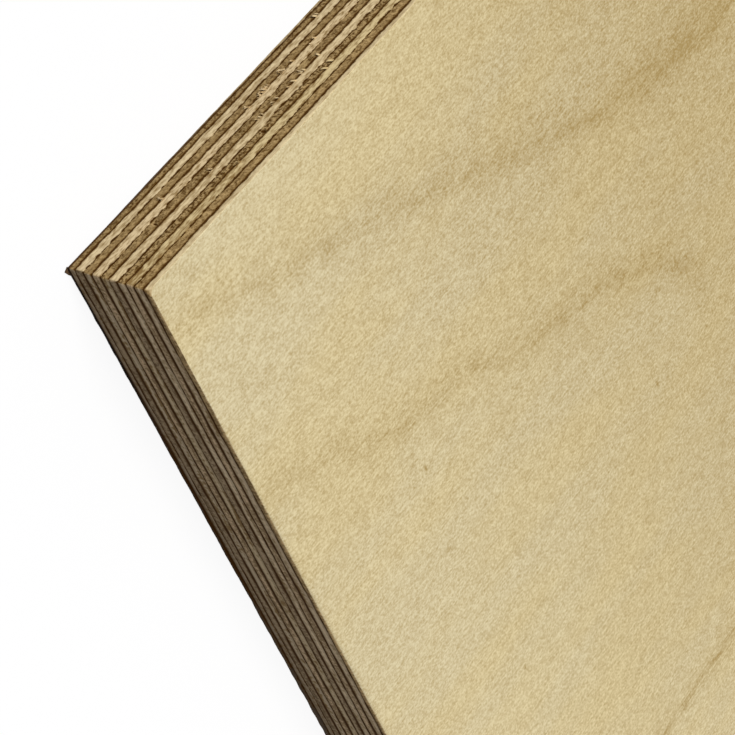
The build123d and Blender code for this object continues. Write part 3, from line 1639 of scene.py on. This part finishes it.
@dataclass
class Sheet:
    """The whole sheet: its rim, the glue lines between its veneers and the veneers themselves."""

    length: float
    width: float
    lay_up: tuple[str, ...]
    rim: Rim = field(init=False)
    lines: list[np.ndarray] = field(init=False)

    # Lumps of a glue line by their length and height: slow ones, and teeth between cut fibres,
    # which are smaller on the edges sawn across the face's grain. The lowest line is calmer
    WANDER = ((17.0 * MM, 0.11 * MM), (4.2 * MM, 0.06 * MM))
    TEETH = ((1.9 * MM, 0.07 * MM), (0.7 * MM, 0.07 * MM))
    LESS_TOOTHED = 0.35
    LOWEST_CALM = 0.5
    SEEDS_EACH = 100

    # How far some lines lie off their level on the front edge, and how the lowest one drifts on
    # the right edge, by the distance from the near corner, in mm
    FRONT_SHIFT = {4: -0.12 * MM, 7: 0.15 * MM, 8: -0.08 * MM}
    LOWEST_DRIFT = ((0, 0.05), (20, 0.02), (40, 0.18), (70, 0.0), (100, -0.20), (150, -0.18), (300, 0.0))

    VOIDS = (
        Void("cross_ply_2", 29.3 * MM, 0.45, 0.22 * MM, 0.30, 0.55 * MM),
        Void("cross_ply_2", 38.4 * MM, 0.90, 0.45 * MM, 0.16, 0.55 * MM),
        Void("cross_ply_3", 10.3 * MM, 0.50, 0.18 * MM, 0.28, 0.35 * MM),
        Void("cross_ply_1", 62.0 * MM, 0.85, 0.50 * MM, 0.12, 0.40 * MM),
    )
    WHISKERS = {"long_ply_3": 84, "long_ply_2": 54, "long_ply_1": 15, "long_ply_4": 12}
    KINDS = {"back_veneer": BackVeneer, "face_veneer": FaceVeneer}

    def __post_init__(self) -> None:
        """Lay out the rim and the glue lines."""
        self.rim = Rim(self.length / 2, self.width / 2)
        levels = [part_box(node)[0].z for node in self.lay_up] + [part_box(self.lay_up[-1])[1].z]
        self.lines = [self.glue_line(number, level) for number, level in enumerate(levels)]

    def glue_line(self, number: int, level: float) -> np.ndarray:
        """Draw one glue line round the rim, or the flat of the back or of the face.

        Args:
            number: Its number, from the back.
            level: Its height in the CAD model.

        Returns:
            Its height in each column, which wanders a little between two plies.
        """
        rim = self.rim
        line = np.full(len(rim.along), level)
        if 0 < number < len(self.lay_up):
            calm = self.LOWEST_CALM if number == 1 else 1.0
            lengthwise = rim.on(Side.FRONT, Side.REAR)
            teeth = self.LESS_TOOTHED + (1 - self.LESS_TOOTHED) * lengthwise
            for octave, (cell, height) in enumerate(self.WANDER + self.TEETH):
                toothed = teeth if octave >= len(self.WANDER) else 1.0
                noise = rim.noise(self.SEEDS_EACH * number + octave, cell)
                line = line + calm * height * noise * toothed
        if number == 1:
            line = line + follow(self.LOWEST_DRIFT, rim.along) * rim.on(Side.RIGHT)
        return line + self.FRONT_SHIFT.get(number, 0.0) * rim.on(Side.FRONT)

    def veneers(self) -> list[Veneer]:
        """Set out the veneers.

        Returns:
            The veneers, from the back to the face.
        """
        made = []
        for number, node in enumerate(self.lay_up):
            kind = self.KINDS.get(node, Veneer)
            grain = Grain.CROSS if node.startswith("cross") else Grain.LONG
            voids = tuple(void for void in self.VOIDS if void.node == node)
            low, high = self.lines[number], self.lines[number + 1]
            whiskers = self.WHISKERS.get(node, 0)
            made.append(kind(node, number, grain, self.rim, low, high, voids, whiskers))
        return made


@dataclass(frozen=True)
class Studio:
    """The plain floor, the soft light and the camera."""

    focal_length: float = 113.8
    sensor: float = 36.0
    clip: tuple[float, float] = (0.01, 100.0)
    camera_place: Triple = (0.8809, -0.9268, 0.2115)
    camera_right: Triple = (-0.5732, 0.3253, 0.7521)
    camera_up: Triple = (-0.6826, -0.6973, -0.2187)
    camera_back: Triple = (0.4533, -0.6387, 0.6217)
    key_from: Triple = (-0.10, -0.70, 0.70)
    key_colour: Triple = (1.0, 0.982, 0.935)
    key_strength: float = 2.82
    key_angle: float = math.radians(24)
    sky: Triple = (0.377, 0.376, 0.425)
    white: Triple = (1.0, 1.0, 1.0)
    floor_size: float = 40.0
    floor_squares: int = 8
    floor_below: float = 0.05 * MM
    floor_grey: float = 0.16
    floor_glow: float = 0.90

    def camera(self) -> None:
        """Set up the camera at the photograph's angle, over the near corner."""
        data = bpy.data.cameras.new("camera")
        data.lens, data.sensor_width = self.focal_length, self.sensor
        data.clip_start, data.clip_end = self.clip
        camera = stand("camera", data)
        turn = Matrix((self.camera_right, self.camera_up, self.camera_back)).transposed()
        camera.matrix_world = Matrix.Translation(self.camera_place) @ turn.to_4x4()
        bpy.context.scene.camera = camera

    def key_light(self) -> None:
        """Set up one soft lamp that lights the face and the front edge alike."""
        data = bpy.data.lights.new("key", "SUN")
        data.energy, data.angle = self.key_strength, self.key_angle
        data.color = self.key_colour
        lamp = stand("key", data)
        lamp.rotation_mode = "QUATERNION"
        lamp.rotation_quaternion = Vector(self.key_from).to_track_quat("Z", "Y")

    def seen_directly(self, graph: Graph) -> Value:
        """Tell the rays that show the background itself from those that light the sheet.

        Args:
            graph: The graph of the floor's material or of the world.

        Returns:
            1 for the rays that show it, and 0 for the others.
        """
        seen = graph.add("ShaderNodeLightPath", output="Is Camera Ray")
        path = seen.socket.node
        for name in ("Is Glossy Ray", "Is Transmission Ray"):
            seen = seen.larger(Value(graph, path.outputs[name]))
        return seen

    def backdrop(self) -> None:
        """Make the world white to the eye, and a dim soft sky to the sheet."""
        world = bpy.data.worlds.new("studio")
        bpy.context.scene.world = world
        graph = Graph(world)
        shown = graph.mix(self.seen_directly(graph), self.sky, self.white)
        shader = graph.add("ShaderNodeBackground", None, {"Color": shown, "Strength": 1.0})
        graph.close(shader, "ShaderNodeOutputWorld")

    def floor(self) -> None:
        """Lay the floor: white to the eye with the sheet's shadow on it, grey to the light."""
        bm, squares = bmesh.new(), self.floor_squares
        bmesh.ops.create_grid(bm, x_segments=squares, y_segments=squares, size=self.floor_size / 2)
        mesh = bpy.data.meshes.new("floor")
        bm.to_mesh(mesh)
        bm.free()
        floor = stand("floor", mesh)
        floor.location.z = -self.floor_below
        graph = Graph(bpy.data.materials.new("floor"))
        grey = graph.add("ShaderNodeBsdfDiffuse", None, {"Color": (self.floor_grey,) * 3})
        white = graph.add("ShaderNodeBsdfDiffuse", None, {"Color": self.white})
        glow = graph.add("ShaderNodeEmission", None, {"Color": self.white, "Strength": 1.0})
        shown = graph.add("ShaderNodeMixShader", None, {0: self.floor_glow, 1: white, 2: glow})
        both = graph.add("ShaderNodeMixShader", None, {0: self.seen_directly(graph), 1: grey, 2: shown})
        floor.data.materials.append(graph.close(both))

    def set_up(self) -> None:
        """Set up the whole studio."""
        bpy.context.scene.view_settings.view_transform = "Standard"
        self.camera()
        self.key_light()
        self.backdrop()
        self.floor()


def main() -> None:
    """Build the studio and then every veneer, from the back to the face."""
    logging.basicConfig(level=logging.INFO, format="%(message)s")
    Studio().set_up()
    low, high = cad_box
    lay_up = tuple(sorted(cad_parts, key=lambda node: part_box(node)[0].z))
    sheet = Sheet(high.x - low.x, high.y - low.y, lay_up)
    for veneer in sheet.veneers():
        piece = veneer.build()
        veneer.dress(piece)
        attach(piece, "root")
        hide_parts(veneer.node)
        log.info("%s: %d faces", piece.name, len(piece.data.polygons))


if __name__ == "__main__":
    main()
